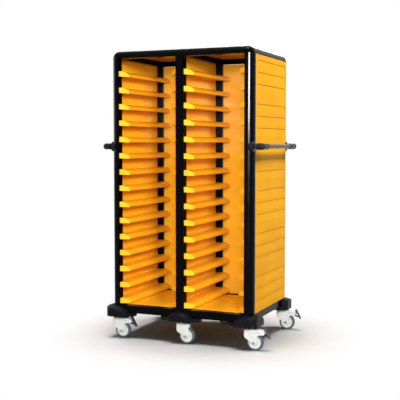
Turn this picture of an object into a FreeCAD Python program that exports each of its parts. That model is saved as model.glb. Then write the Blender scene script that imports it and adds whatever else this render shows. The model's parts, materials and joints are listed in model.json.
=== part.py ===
import FreeCAD, Part
import math
import os

# A two-column tray cart, open at the front. Millimetres, +Z up, standing on the floor at z = 0.
# X runs across the cart, with the right side positive. Y runs from the open front (negative) to the back.
# Shapes are drawn about the middle of the frame, and saved about the middle of the cart's overall box.

# Frame
frameWidth = 920.0
frameDepth = 676.0
frameTop = 1770.0
frameBottom = 159.0
postSize = 50.0
tubeWall = 2.0
outerRadius = 42.0
topRailHeight = 45.0
bottomRailHeight = 50.0
bottomRailRadius = 14.0

# Clearances
seatGap = 0.3
runningGap = 0.05

# Panels
sidePanelThickness = 6.0
sidePanelProud = 3.0
sidePanelEdgeRadius = 2.0
wallRecess = 38.0
linerThickness = 3.0
partitionInset = 2.0
partitionThickness = 4.0
backPanelThickness = 3.0
backPanelInset = 25.0
floorThickness = 3.0
floorFlange = 24.0
floorRearGap = 36.0
floorProud = 1.0
roofThickness = 3.0
roofSink = 9.0
roofRimDrop = 1.0

# Louvre bands pressed into the side panels: three to a group, each with a deep upper edge
louvresPerGroup = 3
louvreGroupPitch = 254.0
louvrePitch = 70.0
louvreFirstDrop = 31.0
louvreHeight = 46.0
louvreDepth = 2.2
louvreBorder = 22.0
louvreEndRadius = 14.0

# Tray ledges, with at least the top slot's height left over the highest
ledgePitch = 100.0
lowestLedgeTop = 249.0
topSlotHeight = 60.0
ledgeReach = 50.0
ledgeShelf = 8.0
ledgeNoseDrop = 20.0
ledgeLipHeight = 11.0
ledgeLipRadius = 4.0
ledgeUndercut = 7.0
ledgeWall = 3.0
ledgeFrontInset = 11.0
leadInStart = 8.0
leadInLength = 38.0

# Push handles
handleHeight = 1190.0
handleReach = 50.0
handleInset = 28.0
handleTube = 25.0
handleTubeWall = 2.0
elbowDiameter = 38.0
sleeveDiameter = 34.0
sleeveLength = 92.0
sleeveDepth = 60.0
flareDiameter = 62.0
flareLength = 13.0
flareDepth = 26.0
flareRim = 2.0
elbowNeckDiameter = 24.0
elbowNeckLength = 5.0

# Bumpers under the posts: the front ones reach further back along the sides than the rear ones forward
bumperHeight = 22.0
bumperReach = 35.0
bumperCornerRadius = 40.0
bumperLobe = 104.0
bumperLength = 150.0
frontSideLobe = 130.0
frontSideLength = 156.0
rearSideLobe = 84.0
rearSideLength = 120.0
bumperBlendRadius = 18.0
bumperWingHeight = 18.0
bumperWingInset = 2.0
bumperWingWidth = 44.0
cornerDomeRadius = 135.0
cornerDomeSink = 83.0
centreDomeRadius = 120.0
centreDomeSink = 75.0
domeInsetX = 20.0
domeInsetY = 38.0
centreBumperHalf = 58.0
centreWingHalf = 130.0
centreHumpHalf = 45.0
spigotDiameter = 30.0
spigotHeight = 45.0
spigotRoot = 1.0
socketDepth = 55.0

# The pocket for a caster's neck, and the narrow slots that open it to the outside
pocketDepth = 10.3
slotWidth = 12.0
frontSlotPlace = 47.0
cornerSlotPlace = 12.0
cornerSlotTurn = 20.0
centreSlotPlace = 23.0

# Casters
wheelDiameter = 100.0
tyreThickness = 12.0
tyreWidth = 25.0
tyreEdgeRadius = 6.0
hubRimWidth = 23.0
hubRimThickness = 5.0
hubWebWidth = 9.0
hubBossDiameter = 22.0
hubBossWidth = 29.0
axleDiameter = 8.0
axleHeadDiameter = 15.0
axleHeadHeight = 2.5
casterTrail = 40.0
forkTop = 124.0
forkWall = 3.5
forkInnerWidth = 30.0
forkRoof = 7.0
forkNose = 30.0
forkNoseRadius = 13.0
forkNoseDrop = 29.0
forkCrownRadius = 18.0
forkThroatFront = 8.0
forkThroatDrop = 57.0
forkThroatSag = 7.0
forkEndRadius = 8.0
beakStart = 34.0
beakReach = 62.0
beakDrop = 20.0
beakLip = 7.0
beakWall = 5.5
beakRootBack = 20.0
beakRootDrop = 32.0
plainForkReach = 15.0
plainForkDrop = 34.0
forkWheelGap = 4.0
forkHubRadius = 14.0
neckBaseDiameter = 48.0
neckWaistDiameter = 20.0
neckHeadDiameter = 52.0
neckHeadHeight = 9.0
neckGap = 1.0
stemDiameter = 14.0
stemDepth = 30.0

# Brake pedals
pedalPivotBack = 22.0
pedalPivotHeight = 109.5
pedalPinDiameter = 5.0
pedalPinProud = 1.0
pedalArmHeight = 6.0
pedalKneeBack = 44.0
pedalKneeHeight = 96.0
pedalArmEnd = 86.0
pedalWidth = 26.0
pedalArmWidth = 18.0
pedalPlate = 5.0
pedalTopBack = 57.0
pedalTopHeight = 132.0
pedalTipBack = 87.0
pedalTipHeight = 77.0

# Places worked out from the sizes
halfWidth = frameWidth / 2
halfDepth = frameDepth / 2
half = postSize / 2
innerX = halfWidth - postSize
innerY = halfDepth - postSize
topRailUnder = frameTop - topRailHeight
bottomRailTop = frameBottom + bottomRailHeight
bumperUnder = frameBottom - bumperHeight
pocketTop = bumperUnder + pocketDepth
partitionLeft = -half + partitionInset
partitionRight = partitionLeft + partitionThickness
wheelRadius = wheelDiameter / 2
hubRadius = wheelRadius - tyreThickness
axleZ = wheelRadius
forkOuterWidth = forkInnerWidth + 2 * forkWall
ledgeHeight = ledgeNoseDrop + ledgeLipHeight + ledgeLipRadius
ledgeCount = 1 + int((topRailUnder - topSlotHeight - lowestLedgeTop) / ledgePitch)
sidePanelLow = bottomRailTop + seatGap
sidePanelHigh = topRailUnder - seatGap
louvreGroupHeight = (louvresPerGroup - 1) * louvrePitch + louvreHeight
louvreRoom = sidePanelHigh - sidePanelLow - louvreFirstDrop - louvreGroupHeight
louvreGroups = 1 + int(louvreRoom / louvreGroupPitch)
backPanelFront = halfDepth - backPanelInset
floorTop = bottomRailTop + floorProud
roofUnder = frameTop - roofSink - roofThickness

# The overall box runs from the left handle brackets to the tips of the right pedals
boxLeft = -halfWidth - handleReach - elbowDiameter / 2
boxRight = halfWidth - half + casterTrail + pedalTipBack + pedalPlate
boxMiddleX = (boxLeft + boxRight) / 2

corners = {"front_left": (-1, -1), "front_right": (1, -1), "rear_left": (-1, 1), "rear_right": (1, 1)}
middles = {"front_centre": -1, "rear_centre": 1}


def vec(x, y, z):
    return FreeCAD.Vector(x, y, z)


def block(x0, x1, y0, y1, z0, z1):
    return Part.makeBox(x1 - x0, y1 - y0, z1 - z0, vec(x0, y0, z0))


def rod(diameter, start, direction, length):
    return Part.makeCylinder(diameter / 2, length, start, direction)


def mirrored(shape, flipX, flipY):
    if flipX:
        shape = shape.mirror(vec(0, 0, 0), vec(1, 0, 0))
    if flipY:
        shape = shape.mirror(vec(0, 0, 0), vec(0, 1, 0))
    return shape


def moved(shape, x, y, z):
    copy = shape.copy()
    copy.translate(vec(x, y, z))
    return copy


# The straight edges whose middle lies at one of the given places
def edgesAt(shape, places):
    found = []
    for edge in shape.Edges:
        middle = edge.valueAt((edge.FirstParameter + edge.LastParameter) / 2)
        if any((middle - place).Length < 0.01 for place in places):
            found.append(edge)
    return found


# A flat face in the X-Z plane from points, where a middle point given after a point makes an arc
def profileFace(steps, y):
    edges = []
    start = vec(steps[0][0], y, steps[0][1])
    first = start
    for step in steps[1:]:
        end = vec(step[0], y, step[1])
        if len(step) == 4:
            edges.append(Part.Arc(start, vec(step[2], y, step[3]), end).toShape())
        else:
            edges.append(Part.makeLine(start, end))
        start = end
    edges.append(Part.makeLine(start, first))
    return Part.Face(Part.Wire(edges))


# The middle of an arc that leaves a level line at its start and falls to its end, which is lower
def fallingMiddle(startX, startZ, endX, endZ):
    run = endX - startX
    drop = startZ - endZ
    radius = (run ** 2 + drop ** 2) / (2 * drop)
    spread = math.atan2(run, radius - drop) / 2
    return (startX + radius * math.sin(spread), startZ - radius * (1 - math.cos(spread)))


def export(name, shapes):
    solids = []
    for shape in shapes:
        solids.extend(moved(solid, -boxMiddleX, 0, 0) for solid in shape.Solids)
    body = solids[0] if len(solids) == 1 else Part.makeCompound(solids)
    body.exportStep("parts/" + name + ".step")


# A corner post's outside, with its corner at the origin, rounded outside and over the top
def cornerColumn(size, radius, inset, top):
    column = block(inset, size - inset, inset, size - inset, frameBottom, top)
    middle = size / 2
    places = [
        vec(inset, inset, (frameBottom + top) / 2),
        vec(middle, inset, top),
        vec(inset, middle, top),
    ]
    return column.makeFillet(radius, edgesAt(column, places))


def cornerPost(flipX, flipY):
    outside = cornerColumn(postSize, outerRadius, 0, frameTop)
    bore = cornerColumn(postSize, outerRadius - tubeWall, tubeWall, frameTop - tubeWall)
    post = moved(outside.cut(bore), -halfWidth, -halfDepth, 0)
    return mirrored(post, flipX, flipY)


# A centre post's outside at the front, rounded over the top like the rail beside it
def centreColumn(inset, top):
    low = -halfDepth + inset
    high = -innerY - inset
    side = half - inset
    column = block(-side, side, low, high, frameBottom, top)
    return column.makeFillet(outerRadius - inset, edgesAt(column, [vec(0, low, top)]))


def centrePost(flipY):
    outside = centreColumn(0, frameTop)
    bore = centreColumn(tubeWall, frameTop - tubeWall)
    return mirrored(outside.cut(bore), False, flipY)


# A rail's outside along X, with the outer edge rounded above (top rails) or below (bottom rails)
def railAcross(x0, x1, low, high, inset, radius, roundTop):
    y0 = -halfDepth + inset
    y1 = -innerY - inset
    rail = block(x0, x1, y0, y1, low + inset, high - inset)
    z = high - inset if roundTop else low + inset
    return rail.makeFillet(radius - inset, edgesAt(rail, [vec((x0 + x1) / 2, y0, z)]))


def tubeAcross(x0, x1, low, high, radius, roundTop, flipY):
    outside = railAcross(x0, x1, low, high, 0, radius, roundTop)
    bore = railAcross(x0, x1, low, high, tubeWall, radius, roundTop)
    return mirrored(outside.cut(bore), False, flipY)


# The two halves of a cross rail, one on each side of the centre post
def crossRail(low, high, radius, roundTop, flipY):
    start = -innerX + seatGap
    end = -half - seatGap
    left = tubeAcross(start, end, low, high, radius, roundTop, flipY)
    return [left, mirrored(left, True, False)]


def railAlong(low, high, inset, radius, roundTop):
    x0 = -halfWidth + inset
    x1 = -innerX - inset
    reach = innerY - seatGap
    rail = block(x0, x1, -reach, reach, low + inset, high - inset)
    z = high - inset if roundTop else low + inset
    return rail.makeFillet(radius - inset, edgesAt(rail, [vec(x0, 0, z)]))


def sideRails():
    rails = []
    for low, high, radius, roundTop in (
        (topRailUnder, frameTop, outerRadius, True),
        (frameBottom, bottomRailTop, bottomRailRadius, False),
    ):
        outside = railAlong(low, high, 0, radius, roundTop)
        left = outside.cut(railAlong(low, high, tubeWall, radius, roundTop))
        rails += [left, mirrored(left, True, False)]
    return rails


# A rail between the two centre posts: one lies under the floor and one under the roof
def centreRail(low, high):
    reach = innerY - seatGap
    side = half - tubeWall
    outside = block(-half, half, -reach, reach, low, high)
    return outside.cut(block(-side, side, -reach, reach, low + tubeWall, high - tubeWall))


# One louvre band as a cutter: a wedge that is deep along its top edge and fades out below
def louvreCutter(faceX, top):
    reach = innerY - seatGap - louvreBorder
    over = sidePanelThickness
    wedge = profileFace(
        [
            (faceX + over, top),
            (faceX - louvreDepth, top),
            (faceX, top - louvreHeight),
            (faceX + over, top - louvreHeight),
        ],
        -reach,
    ).extrude(vec(0, 2 * reach, 0))
    window = block(faceX - over, faceX + over, -reach, reach, top - 2 * louvreHeight, top)
    tops = [vec(faceX, -reach, top), vec(faceX, reach, top)]
    return wedge.common(window.makeFillet(louvreEndRadius, edgesAt(window, tops)))


def sidePanel(flipX):
    faceX = halfWidth + sidePanelProud
    reach = innerY - seatGap
    panel = block(faceX - sidePanelThickness, faceX, -reach, reach, sidePanelLow, sidePanelHigh)
    middleZ = (sidePanelLow + sidePanelHigh) / 2
    rim = [
        vec(faceX, -reach, middleZ),
        vec(faceX, reach, middleZ),
        vec(faceX, 0, sidePanelLow),
        vec(faceX, 0, sidePanelHigh),
    ]
    panel = panel.makeFillet(sidePanelEdgeRadius, edgesAt(panel, rim))
    cutters = []
    for group in range(louvreGroups):
        for row in range(louvresPerGroup):
            drop = louvreFirstDrop + group * louvreGroupPitch + row * louvrePitch
            cutters.append(louvreCutter(faceX, sidePanelHigh - drop))
    return mirrored(panel.cut(cutters), flipX, False)


def wallLiner(flipX):
    x0 = innerX + wallRecess
    reach = innerY - seatGap
    liner = block(x0, x0 + linerThickness, -reach, reach, bottomRailTop + seatGap, topRailUnder - seatGap)
    return mirrored(liner, flipX, False)


# The partition stands near the left faces of the centre posts, so the right column's wall is deep set
def partition():
    reach = innerY - seatGap
    return block(partitionLeft, partitionRight, -reach, reach, floorTop + seatGap, topRailUnder)


def backPanel(flipX):
    panel = block(
        half + seatGap,
        innerX - seatGap,
        backPanelFront,
        backPanelFront + backPanelThickness,
        bottomRailTop + seatGap,
        topRailUnder - seatGap,
    )
    return mirrored(panel, flipX, False)


# The floor is a shallow pan turned upside down, with its rim against the rails
def floorPanel():
    x = innerX - seatGap
    front = -innerY + seatGap
    rear = innerY - floorRearGap
    sheet = block(-x, x, front, rear, floorTop - floorThickness, floorTop)
    under = floorTop - floorFlange
    rims = [
        block(-x, -x + floorThickness, front, rear, under, floorTop),
        block(x - floorThickness, x, front, rear, under, floorTop),
    ]
    gap = half + seatGap
    for x0, x1 in ((-x, -gap), (gap, x)):
        rims.append(block(x0, x1, front, front + floorThickness, under, floorTop))
        rims.append(block(x0, x1, rear - floorThickness, rear, under, floorTop))
    return sheet.fuse(rims).removeSplitter()


# The roof lies a little below the top of the frame, with its rim turned up along the rails
def roofPanel():
    x = innerX - seatGap
    y = innerY - seatGap
    pan = block(-x, x, -y, y, roofUnder, frameTop - roofRimDrop)
    x -= roofThickness
    y -= roofThickness
    return pan.cut(block(-x, x, -y, y, roofUnder + roofThickness, frameTop))


# A ledge's section, from the wall out to the lip, pulled in by the given inset. The posts' faces are at
# x = 0 and the wall lies behind them by the root.
def ledgeSection(root, inset, z, y):
    radius = (ledgeNoseDrop ** 2 + (ledgeReach - ledgeShelf) ** 2) / (2 * ledgeNoseDrop)
    turn = radius - inset
    reach = ledgeReach - inset
    rise = reach - ledgeShelf
    noseDrop = radius - math.sqrt(turn ** 2 - rise ** 2)
    lipEnd = ledgeNoseDrop + ledgeLipHeight
    lipTurn = ledgeLipRadius - inset
    lipX = reach - lipTurn + lipTurn * math.sqrt(0.5)
    lipZ = z - lipEnd - lipTurn * math.sqrt(0.5)
    return profileFace(
        [
            (-root, z - inset),
            (ledgeShelf, z - inset),
            (reach, z - noseDrop) + fallingMiddle(ledgeShelf, z - inset, reach, z - noseDrop),
            (reach, z - lipEnd),
            (reach - lipTurn, z - lipEnd - lipTurn, lipX, lipZ),
            (-root, z - ledgeHeight + ledgeUndercut + inset),
        ],
        y,
    )


# The wedge of space in front of a ledge's slanted lead-in
def leadInCutter(inset, z):
    front = -halfDepth + ledgeFrontInset
    slope = (ledgeReach - leadInStart) / leadInLength
    shift = inset * math.sqrt(1 + slope ** 2) / slope
    back = front + leadInLength + shift
    beyond = 2 * ledgeReach
    tip = back + (beyond - ledgeReach) / slope
    points = [
        vec(leadInStart, front + shift, z),
        vec(beyond, tip, z),
        vec(beyond, front - beyond, z),
        vec(leadInStart, front - beyond, z),
        vec(leadInStart, front + shift, z),
    ]
    wedge = Part.Face(Part.makePolygon(points)).extrude(vec(0, 0, -2 * ledgeHeight))
    wedge.translate(vec(0, 0, ledgeHeight / 2))
    return wedge


# One ledge that faces +X, hollow behind, with notches round the two posts
def ledge(root, z):
    front = -halfDepth + ledgeFrontInset
    section = ledgeSection(root, 0, z, front)
    outside = section.extrude(vec(0, backPanelFront - front, 0)).cut(leadInCutter(0, z))
    start = front + ledgeWall
    hollow = ledgeSection(root, ledgeWall, z, start).extrude(vec(0, backPanelFront - start, 0))
    shell = outside.cut(hollow.cut(leadInCutter(ledgeWall, z)))
    low = z - 2 * ledgeHeight
    high = z + ledgeHeight
    for y0, y1 in ((-2 * halfDepth, -innerY + seatGap), (innerY - seatGap, 2 * halfDepth)):
        shell = shell.cut(block(-2 * root, seatGap, y0, y1, low, high))
    return shell


# A wall's ledges, one above the other, with the posts' inner faces at the given place
def ledgeStack(root, faceLeft, place):
    stack = [ledge(root, lowestLedgeTop + row * ledgePitch) for row in range(ledgeCount)]
    return [moved(mirrored(item, faceLeft, False), place, 0, 0) for item in stack]


# A bracket at the front of the right side: a flare that hugs the post, a neck, an elbow and a sleeve
def handleBracket(postOutside):
    y = -halfDepth + handleInset
    z = handleHeight
    axisX = halfWidth + handleReach
    rimX = halfWidth + flareRim
    neckX = halfWidth + flareLength
    elbowX = neckX + elbowNeckLength
    flareEdge = z + flareDiameter / 2
    neckEdge = z + elbowNeckDiameter / 2
    elbowRadius = elbowDiameter / 2
    bend = math.sqrt(0.5)
    section = profileFace(
        [
            (halfWidth - flareDepth, z),
            (halfWidth - flareDepth, flareEdge),
            (rimX, flareEdge),
            (neckX, neckEdge, neckX - (neckX - rimX) * bend, flareEdge - (flareEdge - neckEdge) * bend),
            (elbowX, neckEdge),
            (elbowX, z + elbowRadius),
            (axisX, z + elbowRadius),
            (axisX + elbowRadius, z, axisX + elbowRadius * bend, z + elbowRadius * bend),
        ],
        y,
    )
    body = section.revolve(vec(axisX, y, z), vec(1, 0, 0), 360)
    body = body.fuse(rod(sleeveDiameter, vec(axisX, y, z), vec(0, 1, 0), sleeveLength))
    bar = handleTube + 2 * runningGap
    socket = rod(bar, vec(axisX, y + sleeveLength - sleeveDepth, z), vec(0, 1, 0), sleeveDepth)
    inner = halfWidth - 2 * flareDepth
    panelFace = halfWidth + sidePanelProud + seatGap
    panel = block(inner, panelFace, -innerY, halfDepth, z - flareDiameter, z + flareDiameter)
    return body.cut([socket, postOutside, panel])


def handleBar(flipX):
    y = halfDepth - handleInset - sleeveLength + sleeveDepth - seatGap
    x = halfWidth + handleReach
    outside = rod(handleTube, vec(x, -y, handleHeight), vec(0, 1, 0), 2 * y)
    bore = rod(handleTube - 2 * handleTubeWall, vec(x, -y, handleHeight), vec(0, 1, 0), 2 * y)
    return mirrored(outside.cut(bore), flipX, False)


# A closed outline at one height from points, each with the radius of its rounding
def roundedOutline(points, z):
    count = len(points)
    edges = []
    ends = []
    for index, (x, y, radius) in enumerate(points):
        here = vec(x, y, z)
        before = vec(points[index - 1][0], points[index - 1][1], z) - here
        after = vec(points[(index + 1) % count][0], points[(index + 1) % count][1], z) - here
        before.normalize()
        after.normalize()
        if radius == 0:
            ends.append((here, here))
            continue
        opening = before.getAngle(after) / 2
        run = radius / math.tan(opening)
        bisector = before + after
        bisector.normalize()
        centre = here + bisector * (radius / math.sin(opening))
        first = here + before * run
        last = here + after * run
        edges.append(Part.Arc(first, centre - bisector * radius, last).toShape())
        ends.append((first, last))
    for index in range(count):
        start = ends[index - 1][1]
        end = ends[index][0]
        if (end - start).Length > 0.001:
            edges.append(Part.makeLine(start, end))
    return Part.Face(Part.Wire(Part.__sortEdges__(edges)))


# The upper surface of a bumper is part of a sphere, and its wings stay thin
def domed(body, domeRadius, domeSink, x, y, over, edges):
    span = 2 * bumperLength
    z = frameBottom - domeSink
    skirt = body.common(Part.makeSphere(domeRadius, vec(x, y, z))).cut(over)
    under = block(x - span, x + span, y - span, y + span, bumperUnder, frameBottom)
    whole = skirt.fuse(body.common(under))
    low = frameBottom - bumperWingHeight
    for x0, x1, y0, y1 in edges:
        whole = whole.cut(block(x0, x1, y0, y1, bumperUnder, low))
    return whole


# A corner bumper with the frame's corner at the origin and the frame on the + side
def cornerBumper(sideLobe, sideLength, postOutside):
    wing = bumperWingInset
    blend = bumperBlendRadius
    inner = bumperWingInset + bumperWingWidth
    outline = [
        (-bumperReach, -bumperReach, bumperCornerRadius),
        (bumperLobe, -bumperReach, blend),
        (bumperLobe + blend, wing, blend / 2),
        (bumperLength, wing, blend / 3),
        (bumperLength, inner, blend / 3),
        (inner + blend, inner, blend),
        (inner + blend, inner + blend, blend / 2),
        (inner, inner + blend, blend),
        (inner, sideLength, blend / 3),
        (wing, sideLength, blend / 3),
        (wing, sideLobe + blend, blend / 2),
        (-bumperReach, sideLobe, blend),
    ]
    body = roundedOutline(outline, bumperUnder).extrude(vec(0, 0, 2 * bumperHeight + bottomRailHeight))
    span = 2 * bumperLength
    over = block(0, span, 0, span, frameBottom, frameTop)
    edges = [
        (bumperLobe + 2 * blend, span, -span, span),
        (-span, span, sideLobe + 2 * blend, span),
    ]
    whole = domed(body, cornerDomeRadius, cornerDomeSink, domeInsetX, domeInsetY, over, edges)
    top = pocketTop
    frontSlot = block(
        frontSlotPlace - slotWidth / 2, frontSlotPlace + slotWidth / 2, -span, half, bumperUnder, top
    )
    cornerSlot = block(-slotWidth / 2, slotWidth / 2, -span, 0, bumperUnder, top)
    cornerSlot.rotate(vec(0, 0, 0), vec(0, 0, 1), -cornerSlotTurn)
    cornerSlot.translate(vec(0, cornerSlotPlace, 0))
    return whole.cut([frontSlot, cornerSlot, postOutside]).removeSplitter()


# The centre bumper at the front, in place: a bulge before the post and a wing on each side
def centreBumper():
    front = -halfDepth
    wing = front + bumperWingInset
    inner = wing + bumperWingWidth
    blend = bumperBlendRadius
    right = [
        (centreBumperHalf, front - bumperReach, 2 * blend),
        (centreBumperHalf + 2 * blend, wing, blend / 2),
        (centreWingHalf, wing, blend / 3),
        (centreWingHalf, inner, blend / 3),
        (centreHumpHalf, inner, blend / 3),
        (centreHumpHalf, inner + blend, blend / 3),
    ]
    left = [(-x, y, radius) for x, y, radius in reversed(right)]
    body = roundedOutline(right + left, bumperUnder)
    body = body.extrude(vec(0, 0, 2 * bumperHeight + bottomRailHeight))
    span = 2 * centreWingHalf
    over = block(-span, span, front, 0, frameBottom, frameTop)
    thin = centreBumperHalf + 3 * blend
    edges = [(thin, span, -halfDepth - span, 0), (-span, -thin, -halfDepth - span, 0)]
    whole = domed(body, centreDomeRadius, centreDomeSink, 0, front + domeInsetY, over, edges)
    for x in (-centreSlotPlace, centreSlotPlace):
        low = x - slotWidth / 2
        high = x + slotWidth / 2
        whole = whole.cut(block(low, high, front - span, front + half, bumperUnder, pocketTop))
    return whole.removeSplitter()


# The spigot that stands up inside a post, the pocket for the caster's neck and the socket for its stem
def withSocket(bumper, x, y):
    up = vec(0, 0, 1)
    spigot = rod(spigotDiameter, vec(x, y, frameBottom - spigotRoot), up, spigotHeight + spigotRoot)
    pocket = rod(neckHeadDiameter + 2 * neckGap, vec(x, y, bumperUnder), up, pocketDepth)
    socket = rod(stemDiameter, vec(x, y, bumperUnder), up, socketDepth)
    return bumper.fuse(spigot).cut([pocket, socket]).removeSplitter()


# The places of the six stems, by name
def stemPlaces():
    places = {}
    for name, (sideX, sideY) in corners.items():
        places[name] = (sideX * (halfWidth - half), sideY * (halfDepth - half))
    for name, sideY in middles.items():
        places[name] = (0.0, sideY * (halfDepth - half))
    return places


def stem(x, y):
    low = forkTop - stemDepth
    return rod(stemDiameter, vec(x, y, low), vec(0, 0, 1), bumperUnder + socketDepth - low)


# The caster's neck: a cone on the hood, and above it a flat head inside the bumper's pocket
def neck():
    base = neckBaseDiameter / 2
    waist = neckWaistDiameter / 2
    head = neckHeadDiameter / 2
    headTop = pocketTop - neckGap
    headLow = headTop - neckHeadHeight
    steps = [
        (0, forkTop - forkRoof),
        (base, forkTop - forkRoof),
        (base, forkTop),
        (waist, headLow),
        (head, headLow),
        (head, headTop),
        (0, headTop),
    ]
    face = Part.Face(Part.makePolygon([vec(radius, 0, z) for radius, z in steps + steps[:1]]))
    return face.revolve(vec(0, 0, 0), vec(0, 0, 1), 360)


# The fork: a hooded shell over the wheel. The stem stands at x = 0 and the wheel runs behind it.
# A braked fork ends in a beak, which covers the pedal's arm, and a plain one is cut short.
def fork(braked):
    trail = casterTrail
    side = forkOuterWidth / 2
    hubEnd = (trail + forkHubRadius, axleZ)
    underHub = (
        trail - forkHubRadius / 2,
        axleZ - forkHubRadius * math.sqrt(0.75),
        trail + forkHubRadius / 2,
        axleZ - forkHubRadius * math.sqrt(0.75),
    )
    noseLow = forkTop - forkNoseDrop
    throat = (-forkThroatFront, forkTop - forkThroatDrop)
    sweep = ((throat[0] - forkNose) / 2 - forkThroatSag / 2, (throat[1] + noseLow) / 2 - forkThroatSag / 2)
    crownInset = forkCrownRadius * (1 - math.sqrt(0.5))
    lower = [
        hubEnd,
        underHub,
        throat,
        (-forkNose, noseLow) + sweep,
        (-forkNose, forkTop - forkCrownRadius),
        (-forkNose + forkCrownRadius, forkTop, -forkNose + crownInset, forkTop - crownInset),
    ]
    if braked:
        tail = trail + beakReach
        tipZ = forkTop - beakDrop
        upper = [
            (trail + beakStart, forkTop),
            (tail, tipZ) + fallingMiddle(trail + beakStart, forkTop, tail, tipZ),
            (tail - beakWall, tipZ - beakLip),
            (trail + beakRootBack, forkTop - beakRootDrop),
        ]
    else:
        tail = trail + plainForkReach
        start = tail - forkEndRadius
        tipZ = forkTop - forkEndRadius
        upper = [
            (start, forkTop),
            (tail, tipZ) + fallingMiddle(start, forkTop, tail, tipZ),
            (tail, forkTop - plainForkDrop),
        ]
    body = profileFace(lower + upper, -side).extrude(vec(0, 2 * side, 0))
    plan = [
        (-forkNose, -side, forkNoseRadius),
        (tail, -side, forkEndRadius),
        (tail, side, forkEndRadius),
        (-forkNose, side, forkNoseRadius),
    ]
    body = body.common(roundedOutline(plan, 0).extrude(vec(0, 0, forkTop)))
    inside = forkInnerWidth / 2
    gap = wheelRadius + forkWheelGap
    wheelSpace = Part.makeCylinder(gap, forkInnerWidth, vec(trail, -inside, axleZ), vec(0, 1, 0))
    below = block(-2 * forkNose, 2 * tail, -inside, inside, 0, axleZ)
    axleHole = rod(axleDiameter, vec(trail, -2 * side, axleZ), vec(0, 1, 0), 4 * side)
    cutters = [wheelSpace, below, axleHole]
    if braked:
        roof = forkTop - forkRoof
        back = tail - beakWall
        low = tipZ - beakWall
        pocket = profileFace(
            [
                (trail, axleZ),
                (trail, roof),
                (trail + beakStart, roof),
                (back, low) + fallingMiddle(trail + beakStart, roof, back, low),
                (back, axleZ),
            ],
            -inside,
        )
        cutters.append(pocket.extrude(vec(0, 2 * inside, 0)))
        pivot = vec(trail + pedalPivotBack, -2 * side, pedalPivotHeight)
        cutters.append(rod(pedalPinDiameter + 2 * runningGap, pivot, vec(0, 1, 0), 4 * side))
    holeStart = vec(0, 0, forkTop - stemDepth - seatGap)
    stemHole = rod(stemDiameter + 2 * runningGap, holeStart, vec(0, 0, 1), forkTop)
    return body.cut(cutters).fuse(neck()).cut(stemHole).removeSplitter()


# A wheel's hub turned from one section: a long boss, a thin web and a rim that carries the tyre
def hub():
    bore = axleDiameter / 2 + runningGap
    boss = hubBossDiameter / 2
    rim = hubRadius - hubRimThickness
    web = hubWebWidth / 2
    edge = hubRimWidth / 2
    end = hubBossWidth / 2
    near = [(end, bore), (end, boss), (web, boss), (web, rim), (edge, rim), (edge, hubRadius)]
    far = [(-y, radius) for y, radius in reversed(near)]
    face = Part.Face(Part.makePolygon([vec(0, y, radius) for y, radius in near + far + near[:1]]))
    wheel = face.revolve(vec(0, 0, 0), vec(0, 1, 0), 360)
    return moved(wheel, casterTrail, 0, axleZ)


def tyre():
    ring = Part.makeCylinder(wheelRadius, tyreWidth, vec(0, -tyreWidth / 2, 0), vec(0, 1, 0))
    ring = ring.makeFillet(tyreEdgeRadius, [edge for edge in ring.Edges if edge.Closed])
    ring = ring.cut(rod(2 * hubRadius, vec(0, -tyreWidth, 0), vec(0, 1, 0), 2 * tyreWidth))
    return moved(ring, casterTrail, 0, axleZ)


def axle():
    side = forkOuterWidth / 2
    start = vec(casterTrail, -side, axleZ)
    pin = rod(axleDiameter, start, vec(0, 1, 0), forkOuterWidth)
    heads = []
    for place, turn in ((side, 1), (-side, -1)):
        head = rod(axleHeadDiameter, vec(casterTrail, place, axleZ), vec(0, turn, 0), axleHeadHeight)
        heads.append(head)
    return pin.fuse(heads).removeSplitter()


# The brake pedal: a pin through the fork, a cranked arm over the wheel and a rocker plate behind the beak
def pedal():
    trail = casterTrail
    pivotX = trail + pedalPivotBack
    kneeX = trail + pedalKneeBack
    topX = trail + pedalTopBack
    tipX = trail + pedalTipBack
    thick = pedalPlate / 2
    width = pedalWidth / 2
    pinReach = forkOuterWidth / 2 + pedalPinProud
    pin = rod(pedalPinDiameter, vec(pivotX, -pinReach, pedalPivotHeight), vec(0, 1, 0), 2 * pinReach)
    plate = profileFace(
        [
            (topX, pedalTopHeight),
            (topX + pedalPlate, pedalTopHeight, topX + thick, pedalTopHeight + thick),
            (tipX + pedalPlate, pedalTipHeight),
            (tipX, pedalTipHeight, tipX + thick, pedalTipHeight - thick),
        ],
        -width,
    ).extrude(vec(0, pedalWidth, 0))
    lean = (tipX - topX) / (pedalTopHeight - pedalTipHeight)
    joinX = topX + thick + lean * (pedalTopHeight - pedalArmEnd)
    high = pedalArmHeight / 2
    armWidth = pedalArmWidth / 2
    arm = profileFace(
        [
            (pivotX, pedalPivotHeight - high),
            (pivotX, pedalPivotHeight + high, pivotX - high, pedalPivotHeight),
            (kneeX, pedalKneeHeight + high),
            (joinX, pedalArmEnd + high),
            (joinX, pedalArmEnd - high),
            (kneeX, pedalKneeHeight - high),
        ],
        -armWidth,
    ).extrude(vec(0, pedalArmWidth, 0))
    return plate.fuse([arm, pin]).removeSplitter()


os.makedirs("parts", exist_ok=True)

for name, (sideX, sideY) in corners.items():
    export("post_" + name, [cornerPost(sideX > 0, sideY > 0)])
for name, sideY in middles.items():
    export("post_" + name, [centrePost(sideY > 0)])

export("top_rail_front", crossRail(topRailUnder, frameTop, outerRadius, True, False))
export("top_rail_rear", crossRail(topRailUnder, frameTop, outerRadius, True, True))
export("bottom_rail_front", crossRail(frameBottom, bottomRailTop, bottomRailRadius, False, False))
export("bottom_rail_rear", crossRail(frameBottom, bottomRailTop, bottomRailRadius, False, True))
export("bottom_rail_centre", [centreRail(frameBottom, floorTop - floorThickness)])
export("top_rail_centre", [centreRail(topRailUnder, roofUnder)])
export("side_rails", sideRails())

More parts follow.
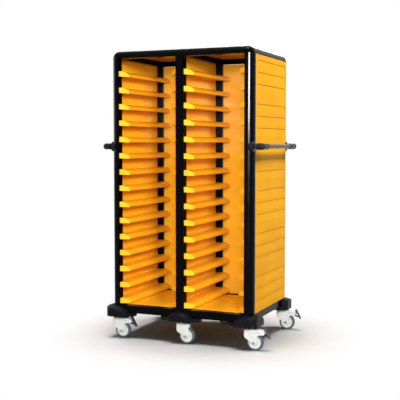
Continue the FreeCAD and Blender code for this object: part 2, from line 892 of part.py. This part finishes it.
for name, flip in (("left", True), ("right", False)):
    export("side_panel_" + name, [sidePanel(flip)])
    export("wall_liner_" + name, [wallLiner(flip)])
    export("back_panel_" + name, [backPanel(flip)])
    export("handle_bar_" + name, [handleBar(flip)])
export("partition_panel", [partition()])
export("floor_panel", [floorPanel()])
export("roof_panel", [roofPanel()])

# The ledges face into each column from its two walls
export("tray_ledges_left_wall", ledgeStack(wallRecess, False, -innerX))
export("tray_ledges_partition_left", ledgeStack(partitionLeft + half, True, -half))
export("tray_ledges_partition_right", ledgeStack(half - partitionRight, False, half))
export("tray_ledges_right_wall", ledgeStack(wallRecess, True, innerX))

postSolid = cornerColumn(postSize, outerRadius, 0, frameTop)
postInPlace = mirrored(moved(postSolid, -halfWidth, -halfDepth, 0), True, False)
bracket = handleBracket(postInPlace)
export("handle_brackets", [mirrored(bracket, sideX < 0, sideY > 0) for sideX, sideY in corners.values()])

bumpers = []
for sideX, sideY in corners.values():
    lobe, length = (frontSideLobe, frontSideLength) if sideY < 0 else (rearSideLobe, rearSideLength)
    bumper = withSocket(cornerBumper(lobe, length, postSolid), half, half)
    bumpers.append(mirrored(moved(bumper, -halfWidth, -halfDepth, 0), sideX > 0, sideY > 0))
export("corner_bumpers", bumpers)
middle = withSocket(centreBumper(), 0, -halfDepth + half)
export("centre_bumpers", [mirrored(middle, False, sideY > 0) for sideY in middles.values()])

places = stemPlaces()
export("caster_stems", [stem(x, y) for x, y in places.values()])
for name, (x, y) in places.items():
    braked = name in corners
    export("caster_fork_" + name, [moved(fork(braked), x, y, 0)])
    export("wheel_hub_" + name, [moved(hub(), x, y, 0)])
    export("wheel_tyre_" + name, [moved(tyre(), x, y, 0)])
    export("wheel_axle_" + name, [moved(axle(), x, y, 0)])
    if braked:
        export("brake_pedal_" + name, [moved(pedal(), x, y, 0)])
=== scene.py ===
import json
import math

import bmesh
import bpy
from mathutils import Matrix, Vector


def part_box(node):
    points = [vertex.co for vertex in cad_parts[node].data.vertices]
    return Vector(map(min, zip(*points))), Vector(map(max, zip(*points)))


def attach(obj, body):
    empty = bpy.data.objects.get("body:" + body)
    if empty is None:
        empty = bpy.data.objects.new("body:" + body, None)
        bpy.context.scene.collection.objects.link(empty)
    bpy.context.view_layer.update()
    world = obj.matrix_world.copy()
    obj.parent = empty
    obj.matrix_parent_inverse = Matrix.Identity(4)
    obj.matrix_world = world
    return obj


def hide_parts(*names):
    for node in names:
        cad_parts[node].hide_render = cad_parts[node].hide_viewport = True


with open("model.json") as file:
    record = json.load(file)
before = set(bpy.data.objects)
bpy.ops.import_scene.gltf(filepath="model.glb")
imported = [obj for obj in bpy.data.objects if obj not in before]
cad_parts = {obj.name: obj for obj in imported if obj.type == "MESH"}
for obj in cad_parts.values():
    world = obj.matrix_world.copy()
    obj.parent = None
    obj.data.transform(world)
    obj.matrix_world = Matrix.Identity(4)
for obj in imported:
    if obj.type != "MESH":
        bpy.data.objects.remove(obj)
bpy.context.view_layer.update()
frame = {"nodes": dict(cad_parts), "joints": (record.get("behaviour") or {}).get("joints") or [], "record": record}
nodes = frame["nodes"]
subparts = frame["record"]["subparts"]
scene = bpy.context.scene
scene.view_settings.view_transform = "Standard"

# Where each caster's stem stands, and which casters have a brake pedal
stemPlaces = {}
brakedCasters = []
for joint in frame["joints"]:
    kind, place = joint["name"].split("_", 1)
    if kind == "swivel":
        stemPlaces[place] = Vector(joint["pos_m"])
    if kind == "brake":
        brakedCasters.append(place)
middleX = stemPlaces["front_centre"].x  # the middle of the frame, across

# The photograph's viewpoint, with its angles in degrees and its lens and sensor in millimetres
camera = {"place": (2.0865, -4.9806, 1.2095), "down": 3.80, "turn": 23.01, "lens": 76.9, "sensor": 36.0}
cameraData = bpy.data.cameras.new("camera")
cameraData.lens = camera["lens"]
cameraData.sensor_width = camera["sensor"]
cameraObject = bpy.data.objects.new("camera", cameraData)
cameraObject.location = camera["place"]
cameraObject.rotation_euler = (math.radians(90 - camera["down"]), 0, math.radians(camera["turn"]))
scene.collection.objects.link(cameraObject)
scene.camera = cameraObject
print("camera")


# An sRGB hex colour as linear values
def linear(code):
    channels = [int(code[i:i + 2], 16) / 255 for i in (1, 3, 5)]
    return [c / 12.92 if c <= 0.04045 else ((c + 0.055) / 1.055) ** 2.4 for c in channels] + [1.0]


# Adds a node with its settings, and its links as (own input, other node, other's output)
def addNode(tree, kind, settings=None, links=()):
    node = tree.nodes.new(kind)
    for key, value in (settings or {}).items():
        if isinstance(key, int) or key in node.inputs:
            node.inputs[key].default_value = value
        else:
            setattr(node, key, value)
    for target, other, output in links:
        tree.links.new(other.outputs[output], node.inputs[target])
    return node


# A surface finish: two near colours in soft patches, an uneven shine and a fine relief. Sizes are in
# millimetres, and a grain that is too fine to show is drawn coarser than the real one
def finish(name, look):
    material = bpy.data.materials.new(name)
    material.use_nodes = True
    tree = material.node_tree
    tree.nodes.clear()
    place = addNode(tree, "ShaderNodeTexCoord")
    stretch = addNode(
        tree, "ShaderNodeMapping", {"Scale": look.get("stretch", (1, 1, 1))}, [("Vector", place, "Object")]
    )
    patches = addNode(
        tree, "ShaderNodeTexNoise",
        {"Scale": 1000 / look["patchMm"], "Detail": 3.0, "Roughness": 0.5},
        [("Vector", stretch, "Vector")],
    )
    blend = addNode(
        tree, "ShaderNodeMapRange",
        {"From Min": 0.35, "From Max": 0.65, "interpolation_type": "SMOOTHSTEP"},
        [("Value", patches, 0)],
    )
    colour = addNode(
        tree, "ShaderNodeMix",
        {"data_type": "RGBA", 6: linear(look["colour"]), 7: linear(look["shade"])},
        [(0, blend, "Result")],
    )
    rub = addNode(
        tree, "ShaderNodeTexNoise",
        {"Scale": 1000 / look["rubMm"], "Detail": 4.0, "Roughness": 0.6},
        [("Vector", stretch, "Vector")],
    )
    shine = addNode(
        tree, "ShaderNodeMapRange",
        {"From Min": 0.3, "From Max": 0.7, "To Min": look["rough"][0], "To Max": look["rough"][1]},
        [("Value", rub, 0)],
    )
    grain = addNode(
        tree, "ShaderNodeTexNoise",
        {"Scale": 1000 / look["grainMm"], "Detail": 2.0, "Roughness": 0.5},
        [("Vector", stretch, "Vector")],
    )
    relief = addNode(
        tree, "ShaderNodeBump",
        {"Strength": 1.0, "Distance": look["grainDeepMm"] / 1000},
        [("Height", grain, 0)],
    )
    if "waveMm" in look:
        wave = addNode(
            tree, "ShaderNodeTexNoise",
            {"Scale": 1000 / look["waveMm"], "Detail": 1.0, "Roughness": 0.4},
            [("Vector", stretch, "Vector")],
        )
        relief = addNode(
            tree, "ShaderNodeBump",
            {"Strength": 1.0, "Distance": look["waveDeepMm"] / 1000},
            [("Height", wave, 0), ("Normal", relief, "Normal")],
        )
    shader = addNode(
        tree, "ShaderNodeBsdfPrincipled",
        {
            "Metallic": look.get("metallic", 0.0),
            "Specular IOR Level": look.get("specular", 0.5),
            "Subsurface Weight": look.get("glow", 0.0),
            "Subsurface Scale": 0.004,
        },
        [("Base Color", colour, 2), ("Roughness", shine, "Result"), ("Normal", relief, "Normal")],
    )
    addNode(tree, "ShaderNodeOutputMaterial", {}, [("Surface", shader, "BSDF")])
    return material


# Baked enamel on steel tube: deep black, smooth, with the faint orange peel of a sprayed coat. The low
# specular keeps the white studio from greying it
enamelBlack = finish("enamel_black_on_steel", {
    "colour": "#020203", "shade": "#040405", "patchMm": 180, "rubMm": 60, "rough": (0.13, 0.19),
    "grainMm": 2.4, "grainDeepMm": 0.003, "specular": 0.05,
})
# Moulded ABS, the outer wall: an even amber with little sheen and a barely felt spark-eroded grain
absAmberPanel = finish("abs_amber_panel", {
    "colour": "#fbb10a", "shade": "#f4a80c", "patchMm": 260, "rubMm": 45, "rough": (0.32, 0.42),
    "grainMm": 1.6, "grainDeepMm": 0.012, "specular": 0.02, "waveMm": 190, "waveDeepMm": 0.25,
})
# Extruded ABS sheet, the inner walls, backs, floor and roof: glossier, with slow waves from the rolls
absAmberSheet = finish("abs_amber_sheet", {
    "colour": "#fdbe24", "shade": "#fab31e", "patchMm": 300, "rubMm": 80, "rough": (0.12, 0.2),
    "grainMm": 2.0, "grainDeepMm": 0.006, "specular": 0.3, "waveMm": 120, "waveDeepMm": 0.5,
})
# Vacuum-formed ABS, the ledges: glossy, with the rippled highlights of a sheet drawn over a mould
absAmberFormed = finish("abs_amber_formed", {
    "colour": "#fcb71f", "shade": "#f8ae1b", "patchMm": 160, "rubMm": 50, "rough": (0.12, 0.2),
    "grainMm": 2.0, "grainDeepMm": 0.005, "specular": 0.3, "waveMm": 60, "waveDeepMm": 0.45,
    "stretch": (1, 0.35, 1),  # the ripples run along the ledges
})
# Powder-coated tube, the push bars: dark grey, half matt, with the fine pebbling of fused powder
powderGrey = finish("powder_coat_grey_tube", {
    "colour": "#3a3d42", "shade": "#33363b", "patchMm": 90, "rubMm": 30, "rough": (0.36, 0.5),
    "grainMm": 1.1, "grainDeepMm": 0.02, "specular": 0.5,
})
# Glass-filled nylon, the handle brackets: black, satin, slightly mottled by the fibres
nylonBlack = finish("nylon_black_satin", {
    "colour": "#0a0b0e", "shade": "#101115", "patchMm": 14, "rubMm": 9, "rough": (0.3, 0.44),
    "grainMm": 0.9, "grainDeepMm": 0.02, "specular": 0.15,
})
# Glass-filled nylon, the pedals: a dark slate with the same fine mottling and more sheen
nylonSlate = finish("nylon_slate_pedal", {
    "colour": "#2b2f35", "shade": "#24272c", "patchMm": 12, "rubMm": 8, "rough": (0.34, 0.5),
    "grainMm": 0.9, "grainDeepMm": 0.02, "specular": 0.45,
})
# Cast polyurethane, the bumpers: black with a dull skin, scuffed lighter here and there
urethaneBlack = finish("polyurethane_black_bumper", {
    "colour": "#050609", "shade": "#0a0b10", "patchMm": 35, "rubMm": 12, "rough": (0.34, 0.5),
    "grainMm": 1.3, "grainDeepMm": 0.03, "specular": 0.09,
})
# Injection-moulded nylon, forks and hubs: off-white, slightly waxy, light passes a little way in
nylonWhite = finish("nylon_offwhite_moulded", {
    "colour": "#cccdc8", "shade": "#c4c6c2", "patchMm": 25, "rubMm": 14, "rough": (0.28, 0.4),
    "grainMm": 0.8, "grainDeepMm": 0.012, "specular": 0.45, "glow": 0.15,
})
# Thermoplastic rubber, the treads: slate, quite matt, with a paler, floor-worn bloom in patches
rubberSlate = finish("rubber_slate_tread", {
    "colour": "#3f4851", "shade": "#4c565f", "patchMm": 16, "rubMm": 7, "rough": (0.55, 0.75),
    "grainMm": 0.8, "grainDeepMm": 0.03, "specular": 0.35,
})
# Rolled rubber cord, the seals: black and dull
rubberBlack = finish("rubber_black_seal", {
    "colour": "#0d0e10", "shade": "#141518", "patchMm": 20, "rubMm": 8, "rough": (0.5, 0.65),
    "grainMm": 0.8, "grainDeepMm": 0.02, "specular": 0.4,
})
# Zinc plate on turned steel, stems and fasteners: bright grey, with a fine grain and a cloudy shine
zincSteel = finish("zinc_plated_steel", {
    "colour": "#b9bcbe", "shade": "#a6aaad", "patchMm": 7, "rubMm": 3, "rough": (0.24, 0.4),
    "grainMm": 0.5, "grainDeepMm": 0.006, "metallic": 1.0,
})
print("materials")

# Each finish by the record's slot
slotFinishes = {
    "frame_paint": enamelBlack,
    "panel_yellow": absAmberPanel,
    "liner_orange": absAmberSheet,
    "ledge_yellow": absAmberFormed,
    "handle_grey": powderGrey,
    "moulded_black": nylonBlack,
    "bumper_black": urethaneBlack,
    "caster_grey": nylonWhite,
    "tread_slate": rubberSlate,
    "pedal_dark": nylonSlate,
    "bare_steel": zincSteel,
}
for part in subparts:
    for holder in nodes[part["node"]].material_slots:
        holder.material = slotFinishes[part["material_slot"]]
print("finishes on the CAD nodes")

# How every added piece is closed and shaded: corners sharper than the angle, in degrees, stay crisp
shading = {"mergeWithin": 1e-6, "sharpAngle": 35}


# Turns a bmesh into a smooth-shaded piece that rides on a body
def addPiece(name, mesh, material, body):
    bmesh.ops.remove_doubles(mesh, verts=mesh.verts, dist=shading["mergeWithin"])
    bmesh.ops.recalc_face_normals(mesh, faces=mesh.faces)
    data = bpy.data.meshes.new(name)
    mesh.to_mesh(data)
    mesh.free()
    data.shade_smooth()
    data.set_sharp_from_angle(angle=math.radians(shading["sharpAngle"]))
    data.materials.append(material)
    piece = bpy.data.objects.new(name, data)
    scene.collection.objects.link(piece)
    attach(piece, body)
    return piece


# A turn that stands a shape made along Z along the given direction, at a place
def standing(place, direction):
    return Matrix.Translation(place) @ Vector(direction).to_track_quat("Z", "Y").to_matrix().to_4x4()


# Evenly spaced places from one margin to the other
def spread(low, high, margin, count):
    return [low + margin + index * (high - low - 2 * margin) / (count - 1) for index in range(count)]


# A disc-like solid along Z with softened rims: round with many sides, a nut with six
def addDisc(mesh, sides, radius, height, rim, matrix):
    made = bmesh.ops.create_cone(
        mesh, cap_ends=True, segments=sides, radius1=radius, radius2=radius, depth=height,
        matrix=matrix @ Matrix.Translation((0, 0, height / 2)),
    )
    faces = {face for vert in made["verts"] for face in vert.link_faces}
    caps = [face for face in faces if len(face.verts) == sides]
    edges = [edge for face in caps for edge in face.edges]
    bmesh.ops.bevel(
        mesh, geom=list(set(edges)), offset=rim, segments=2, profile=0.5, affect="EDGES", material=-1
    )


# A ring with a round section, spun about an axis through a place
def addRing(mesh, radius, section, place, axis, steps=48, sides=10):
    along = Vector(axis).normalized()
    side = along.orthogonal().normalized()
    start = Vector(place) + side * radius
    tilt = Matrix.Translation(start) @ side.cross(along).to_track_quat("Z", "Y").to_matrix().to_4x4()
    made = bmesh.ops.create_circle(mesh, segments=sides, radius=section, matrix=tilt)
    edges = list({edge for vert in made["verts"] for edge in vert.link_edges})
    bmesh.ops.spin(
        mesh, geom=made["verts"] + edges, cent=place, axis=along, angle=math.tau, steps=steps,
        use_merge=True,
    )


# A bar with softened edges, from its three sizes and its place
def addBar(mesh, size, soften, matrix):
    made = bmesh.ops.create_cube(mesh, size=1.0, matrix=matrix @ Matrix.Diagonal((*size, 1.0)))
    edges = list({edge for vert in made["verts"] for edge in vert.link_edges})
    bmesh.ops.bevel(mesh, geom=edges, offset=soften, segments=2, profile=0.5, affect="EDGES", material=-1)


# Axle bolts: a hexagon head on one side of the fork and a lock nut on the other, each on a washer
axleBolt = {
    "pinRadius": 0.004, "pinSides": 24, "pinRim": 0.0003,
    "headRadius": 0.0072, "headSides": 6, "headHeight": 0.0024, "headRim": 0.0004,
    "washerRadius": 0.0075, "washerSides": 32, "washerHeight": 0.0009, "washerRim": 0.0002,
}
for place in stemPlaces:
    low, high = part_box("wheel_axle_" + place)
    middle = (low + high) / 2
    forkLow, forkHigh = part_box("caster_fork_" + place)
    reach = (forkHigh.y - forkLow.y) / 2
    mesh = bmesh.new()
    addDisc(
        mesh, axleBolt["pinSides"], axleBolt["pinRadius"], 2 * reach, axleBolt["pinRim"],
        standing(middle - Vector((0, reach, 0)), (0, 1, 0)),
    )
    for side in (-1, 1):
        face = middle + Vector((0, side * reach, 0))
        addDisc(
            mesh, axleBolt["washerSides"], axleBolt["washerRadius"], axleBolt["washerHeight"],
            axleBolt["washerRim"], standing(face, (0, side, 0)),
        )
        face = face + Vector((0, side * axleBolt["washerHeight"], 0))
        addDisc(
            mesh, axleBolt["headSides"], axleBolt["headRadius"], axleBolt["headHeight"],
            axleBolt["headRim"], standing(face, (0, side, 0)),
        )
    bolt = addPiece("axle_bolt_" + place, mesh, zincSteel, "fork_" + place)
    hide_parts("wheel_axle_" + place)

# Hub faces: thin radial ribs in the recess on each side of the web
hubRibs = {
    "count": 10, "inner": 0.0105, "outer": 0.0335, "thick": 0.0018, "deep": 0.0068, "soften": 0.0004,
    "webHalf": 0.0044,
}
for place in stemPlaces:
    low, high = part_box("wheel_hub_" + place)
    middle = (low + high) / 2
    length = hubRibs["outer"] - hubRibs["inner"]
    size = (length, hubRibs["deep"], hubRibs["thick"])
    mesh = bmesh.new()
    for side in (-1, 1):
        for index in range(hubRibs["count"]):
            turn = Matrix.Rotation(math.tau * index / hubRibs["count"], 4, "Y")
            out = (hubRibs["inner"] + length / 2, side * (hubRibs["webHalf"] + hubRibs["deep"] / 2), 0)
            addBar(
                mesh, size, hubRibs["soften"], Matrix.Translation(middle) @ turn @ Matrix.Translation(out)
            )
    addPiece("hub_ribs_" + place, mesh, nylonWhite, "wheel_" + place)

# Tread rings: the moulded bead where the tread meets the hub, on both sides
treadBead = {"radius": 0.0392, "section": 0.0011, "out": 0.0122}
for place in stemPlaces:
    low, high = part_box("wheel_tyre_" + place)
    middle = (low + high) / 2
    mesh = bmesh.new()
    for side in (-1, 1):
        spot = middle + Vector((0, side * treadBead["out"], 0))
        addRing(mesh, treadBead["radius"], treadBead["section"], spot, (0, 1, 0))
    addPiece("tread_beads_" + place, mesh, rubberSlate, "wheel_" + place)

# Swivel seals: a dark lip at the foot of each caster's neck
swivelSeal = {"radius": 0.0243, "section": 0.0012, "height": 0.1242}
for place, stem in stemPlaces.items():
    mesh = bmesh.new()
    spot = (stem.x, stem.y, swivelSeal["height"])
    addRing(mesh, swivelSeal["radius"], swivelSeal["section"], spot, (0, 0, 1))
    addPiece("swivel_seal_" + place, mesh, rubberBlack, "fork_" + place)

# Pedal treads: raised bars across the face that a foot presses. The face's ends are given from the
# floor under the stem
pedalGrip = {
    "count": 6, "width": 0.021, "high": 0.0012, "thick": 0.0026, "soften": 0.0005, "margin": 0.009,
    "faceTop": (0.102, 0, 0.132), "faceTip": (0.132, 0, 0.077),
}
faceTop = Vector(pedalGrip["faceTop"])
slope = Vector(pedalGrip["faceTip"]) - faceTop
outward = Vector((-slope.z, 0, slope.x)).normalized()
tilt = Matrix((slope.normalized(), (0, 1, 0), outward)).transposed().to_4x4()
for place in brakedCasters:
    foot = Vector((stemPlaces[place].x, stemPlaces[place].y, 0))
    mesh = bmesh.new()
    for along in spread(0, slope.length, pedalGrip["margin"], pedalGrip["count"]):
        spot = foot + faceTop + slope.normalized() * along
        addBar(
            mesh, (pedalGrip["thick"], pedalGrip["width"], 2 * pedalGrip["high"]), pedalGrip["soften"],
            Matrix.Translation(spot) @ tilt,
        )
    addPiece("pedal_treads_" + place, mesh, nylonSlate, "pedal_" + place)
print("caster details")

# Seals: a rubber cord laid round each side panel, in the joint with the frame
panelSeal = {"section": 0.0016, "sides": 10, "rim": 0.0003, "sunk": 0.0025}
for side, turn in (("left", -1), ("right", 1)):
    low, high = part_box("side_panel_" + side)
    cordX = (high.x if turn > 0 else low.x) - turn * panelSeal["sunk"]
    corners = [(low.y, low.z), (high.y, low.z), (high.y, high.z), (low.y, high.z)]
    mesh = bmesh.new()
    for first, second in zip(corners, corners[1:] + corners[:1]):
        start = Vector((cordX, *first))
        run = Vector((cordX, *second)) - start
        addDisc(
            mesh, panelSeal["sides"], panelSeal["section"], run.length, panelSeal["rim"],
            standing(start, run.normalized()),
        )
    addPiece("panel_seal_" + side, mesh, rubberBlack, "cart")

# Rivets: domed heads down both edges of each back panel
rivet = {"radius": 0.004, "high": 0.0022, "around": 16, "up": 8, "edge": 0.014, "rows": 11, "margin": 0.045}
for side in ("left", "right"):
    low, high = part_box("back_panel_" + side)
    flatten = Matrix.Diagonal((1, rivet["high"] / rivet["radius"], 1, 1))
    mesh = bmesh.new()
    for z in spread(low.z, high.z, rivet["margin"], rivet["rows"]):
        for x in (low.x + rivet["edge"], high.x - rivet["edge"]):
            bmesh.ops.create_uvsphere(
                mesh, u_segments=rivet["around"], v_segments=rivet["up"], radius=rivet["radius"],
                matrix=Matrix.Translation((x, high.y, z)) @ flatten,
            )
    addPiece("back_rivets_" + side, mesh, zincSteel, "cart")

# Cap screws: two in each handle bracket's flare, above and below the bar
capScrew = {
    "radius": 0.0035, "high": 0.004, "sides": 6, "rim": 0.0006,
    "rise": 0.021, "inset": 0.055, "out": 0.464,
}
low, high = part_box("handle_brackets")
barLow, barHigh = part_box("handle_bar_right")
barHeight = (barLow.z + barHigh.z) / 2
mesh = bmesh.new()
for turn in (-1, 1):
    for y in (low.y + capScrew["inset"], high.y - capScrew["inset"]):
        for z in (barHeight - capScrew["rise"], barHeight + capScrew["rise"]):
            spot = (middleX + turn * capScrew["out"], y, z)
            addDisc(
                mesh, capScrew["sides"], capScrew["radius"], capScrew["high"], capScrew["rim"],
                standing(spot, (turn, 0, 0)),
            )
addPiece("bracket_screws", mesh, zincSteel, "cart")

# Roof screws: low round heads along the pan's rim, on its sheet
roofScrew = {
    "radius": 0.005, "high": 0.0022, "sides": 20, "rim": 0.0007,
    "sheet": 0.003, "edge": 0.03, "across": 4, "deep": 3,
}
low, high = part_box("roof_panel")
columns = spread(low.x, high.x, roofScrew["edge"], roofScrew["across"])
rows = spread(low.y, high.y, roofScrew["edge"], roofScrew["deep"])
mesh = bmesh.new()
for x in columns:
    for y in rows:
        if x in (columns[0], columns[-1]) or y in (rows[0], rows[-1]):
            addDisc(
                mesh, roofScrew["sides"], roofScrew["radius"], roofScrew["high"], roofScrew["rim"],
                standing((x, y, low.z + roofScrew["sheet"]), (0, 0, 1)),
            )
addPiece("roof_screws", mesh, zincSteel, "cart")
print("frame details")

# The floor, pale and plain. To the eye and in reflections it brightens into the white background a
# little way out, and what it throws back on the cart is a middle grey
floor = {"half": 14.0, "seenColour": "#fdfdfd", "thrownColour": "#868686", "fadeFrom": 0.5, "fadeTo": 1.05}
mesh = bmesh.new()
bmesh.ops.create_grid(mesh, x_segments=1, y_segments=1, size=floor["half"])
floorData = bpy.data.meshes.new("floor")
mesh.to_mesh(floorData)
mesh.free()
floorObject = bpy.data.objects.new("floor", floorData)
scene.collection.objects.link(floorObject)


# One where a ray comes from the camera, a reflection or through glass, and zero elsewhere
def seenRays(tree):
    rays = addNode(tree, "ShaderNodeLightPath")
    either = addNode(
        tree, "ShaderNodeMath", {"operation": "MAXIMUM"},
        [(0, rays, "Is Camera Ray"), (1, rays, "Is Glossy Ray")],
    )
    return addNode(
        tree, "ShaderNodeMath", {"operation": "MAXIMUM"},
        [(0, either, "Value"), (1, rays, "Is Transmission Ray")],
    )


floorMaterial = bpy.data.materials.new("studio_floor")
floorMaterial.use_nodes = True
floorData.materials.append(floorMaterial)
floorTree = floorMaterial.node_tree
floorTree.nodes.clear()
seen = seenRays(floorTree)
floorColour = addNode(
    floorTree, "ShaderNodeMix",
    {"data_type": "RGBA", 6: linear(floor["thrownColour"]), 7: linear(floor["seenColour"])},
    [(0, seen, "Value")],
)
paint = addNode(floorTree, "ShaderNodeBsdfDiffuse", {}, [("Color", floorColour, 2)])
floorPlace = addNode(floorTree, "ShaderNodeTexCoord")
away = addNode(floorTree, "ShaderNodeVectorMath", {"operation": "LENGTH"}, [(0, floorPlace, "Object")])
fade = addNode(
    floorTree, "ShaderNodeMapRange",
    {"interpolation_type": "SMOOTHSTEP", "From Min": floor["fadeFrom"], "From Max": floor["fadeTo"]},
    [("Value", away, "Value")],
)
share = addNode(
    floorTree, "ShaderNodeMath", {"operation": "MULTIPLY"}, [(0, fade, "Result"), (1, seen, "Value")]
)
white = addNode(floorTree, "ShaderNodeEmission", {"Color": (1.0, 1.0, 1.0, 1.0), "Strength": 1.0})
both = addNode(
    floorTree, "ShaderNodeMixShader", {}, [(0, share, "Value"), (1, paint, "BSDF"), (2, white, "Emission")]
)
addNode(floorTree, "ShaderNodeOutputMaterial", {}, [("Surface", both, "Shader")])

# The world is white to the eye and in reflections, and only a faint fill on everything else
studio = {"fill": 0.09, "seen": 1.0}
world = bpy.data.worlds.new("studio")
scene.world = world
world.use_nodes = True
worldTree = world.node_tree
worldTree.nodes.clear()
seen = seenRays(worldTree)
strength = addNode(
    worldTree, "ShaderNodeMapRange",
    {"To Min": studio["fill"], "To Max": studio["seen"]},
    [("Value", seen, "Value")],
)
background = addNode(
    worldTree, "ShaderNodeBackground", {"Color": (1.0, 1.0, 1.0, 1.0)}, [("Strength", strength, "Result")]
)
addNode(worldTree, "ShaderNodeOutputWorld", {}, [("Surface", background, "Background")])

# Soft boxes: where each stands, what it points at, its size, its power and what it lights. The key and
# the front box light all but the floor, the frame, the roof and the side panels, which the high side
# box lights so that their louvres show. The strip is only a reflection, the bright line down the near
# post. The left and back boxes light all but the floor, which the top box alone lights, so that one
# soft shadow lies under the cart
softBoxes = {
    "key": {
        "place": (3.5, -4.6, 2.6), "aim": (0.0, 0.0, 1.0), "size": (1.6, 1.0), "power": 315, "on": "colour",
    },
    "front": {
        "place": (1.7, -5.3, 1.8), "aim": (0.0, 0.0, 1.0), "size": (1.6, 1.4), "power": 225, "on": "colour",
    },
    "strip": {
        "place": (3.5, -4.6, 1.95), "aim": (0.4, -0.3, 1.2), "size": (1.9, 1.0), "power": 2300, "on": "frame",
    },
    "top": {
        "place": (0.0, -0.8, 24.0), "aim": (0.0, -0.2, 0.0), "size": (14.0, 14.0), "power": 5350, "on": "all",
    },
    "side": {
        "place": (5.0, -1.6, 8.0), "aim": (0.4, 0.0, 0.9), "size": (4.4, 3.2), "power": 1090, "on": "panels",
    },
    "left": {
        "place": (-4.6, -0.3, 2.2), "aim": (0.0, 0.0, 0.9), "size": (2.0, 2.2), "power": 85, "on": "cart",
    },
    "back": {
        "place": (-1.6, 4.8, 2.2), "aim": (0.0, 0.0, 0.9), "size": (2.4, 2.2), "power": 125, "on": "cart",
    },
}
framePieces = [nodes[part["node"]] for part in subparts if part["material_slot"] == "frame_paint"]
sidePanels = [nodes["side_panel_left"], nodes["side_panel_right"]]
lightGroups = {
    "colour": {
        "state": "EXCLUDE", "members": framePieces + sidePanels + [nodes["roof_panel"], floorObject],
    },
    "panels": {"state": "INCLUDE", "members": sidePanels},
    "frame": {"state": "INCLUDE", "members": framePieces},
    "cart": {"state": "EXCLUDE", "members": [floorObject]},
}
receivers = {"all": None}
for name, group in lightGroups.items():
    receivers[name] = bpy.data.collections.new("lit_" + name)
    for member in group["members"]:
        receivers[name].objects.link(member)
    for item in receivers[name].collection_objects:
        item.light_linking.link_state = group["state"]
for name, box in softBoxes.items():
    lamp = bpy.data.lights.new(name, "AREA")
    lamp.shape = "RECTANGLE"
    lamp.size, lamp.size_y = box["size"]
    lamp.energy = box["power"]
    lampObject = bpy.data.objects.new(name, lamp)
    lampObject.location = box["place"]
    aim = Vector(box["aim"]) - Vector(box["place"])
    lampObject.rotation_euler = aim.to_track_quat("-Z", "Y").to_euler()
    lampObject.light_linking.receiver_collection = receivers[box["on"]]
    lampObject.visible_diffuse = name != "strip"
    scene.collection.objects.link(lampObject)
print("studio")
